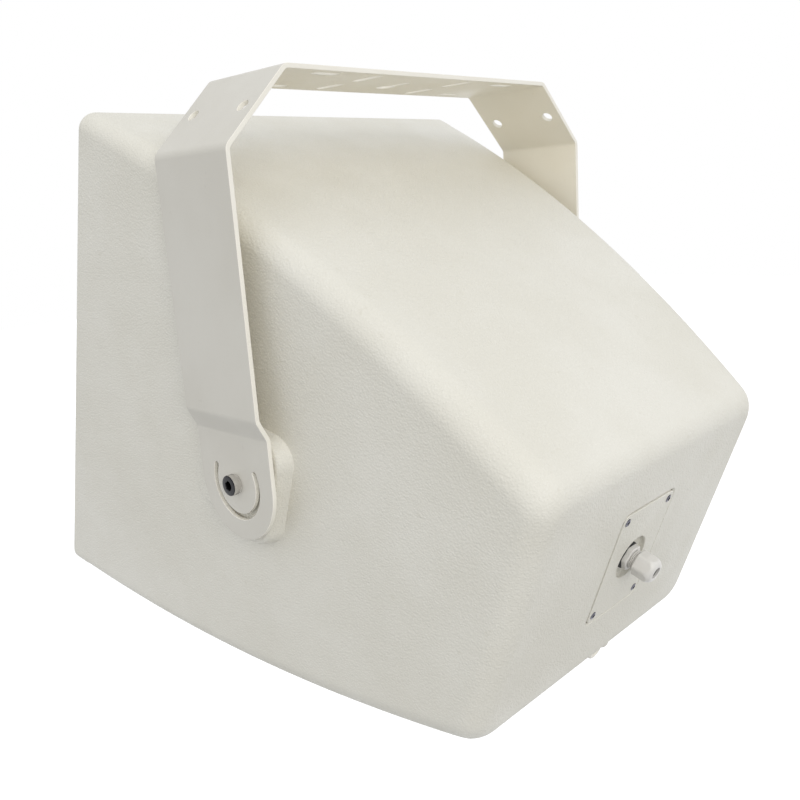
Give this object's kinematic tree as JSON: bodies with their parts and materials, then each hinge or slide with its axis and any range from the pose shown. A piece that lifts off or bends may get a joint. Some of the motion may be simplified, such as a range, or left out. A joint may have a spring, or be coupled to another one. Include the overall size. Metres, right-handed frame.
{
  "type": "public address loudspeaker",
  "caption": "Weatherproof loudspeaker in a tapered moulded housing with a grille front and a gland at the rear, hung by side pivots in a folded steel yoke.",
  "frame": {"origin": "middle of the outer face of the yoke's top plate, at the centre of its four corner slots", "axes": "+Z out of the top plate, +X to the right seen from the front along the pivot axis, the grille faces -Y; the cabinet hangs below, tilted front up as in the picture"},
  "size_m": [0.4288, 0.5296, 0.4927],
  "materials": {
    "yoke_paint": "smooth powder coat",
    "housing_plastic": "moulded, fine pebble texture",
    "grille_paint": "perforated steel, powder coated",
    "foam": "open cell weather foam",
    "baffle_plastic": "moulded",
    "rubber": "matt rubber",
    "nylon": "moulded nylon",
    "steel": "zinc plated",
    "black_steel": "black oxide",
    "brass": "turned",
    "copper": "enamelled wire",
    "ferrite": "sintered ferrite",
    "cast_alloy": "cast, painted",
    "paper": "treated paper",
    "circuit_board": "glass fibre laminate",
    "film_capacitor": "wrapped film",
    "laminations": "stacked steel"
  },
  "bodies": {
    "bracket": {"yoke": "yoke_paint"},
    "cabinet": {"enclosure_shell": "housing_plastic", "front_grille": "grille_paint", "grille_foam": "foam", "grille_screws": "black_steel", "baffle_waveguide": "baffle_plastic", "baffle_gasket": "rubber", "baffle_screws": "steel", "driver_gasket": "rubber", "driver_basket": "cast_alloy", "driver_screws": "steel", "woofer_surround": "rubber", "spider": "paper", "top_plate": "steel", "magnet": "ferrite", "pole_piece": "steel", "hf_horn": "baffle_plastic", "hf_driver": "cast_alloy", "input_plate": "housing_plastic", "plate_gasket": "rubber", "plate_screws": "black_steel", "gland_seal_washer": "rubber", "gland_body": "nylon", "gland_seal": "rubber", "gland_dome_nut": "nylon", "gland_lock_nut": "nylon", "crossover_board": "circuit_board", "board_screws": "steel", "inductor_upper": "copper", "inductor_lower": "copper", "capacitors": "film_capacitor", "terminal_block": "baffle_plastic", "transformer_core": "laminations", "transformer_winding": "copper", "core_screws": "steel", "anchor_eye": "yoke_paint", "anchor_washer": "nylon", "anchor_insert": "brass", "pivot_screw_right": "steel", "pivot_washer_right": "steel", "friction_washer_right": "rubber", "pivot_insert_right": "brass", "lock_insert_right": "brass", "pivot_screw_left": "steel", "pivot_washer_left": "steel", "friction_washer_left": "rubber", "pivot_insert_left": "brass", "lock_insert_left": "brass"},
    "cone_assembly": {"woofer_cone": "paper", "coil_former": "paper", "voice_coil": "copper"}
  },
  "joints": [
    {"name": "cabinet_tilt", "type": "hinge", "parent": "bracket", "child": "cabinet", "pos_m": [0, 0, -0.294], "axis": [1, 0, 0], "range_deg": [0, 130]},
    {"name": "cone_stroke", "type": "slide", "parent": "cabinet", "child": "cone_assembly", "axis": [0, -0.9397, 0.342], "range_m": [-0.005, 0.005], "stiffness_N_per_m": 3000, "deforming": ["woofer_surround", "spider"]}
  ]
}
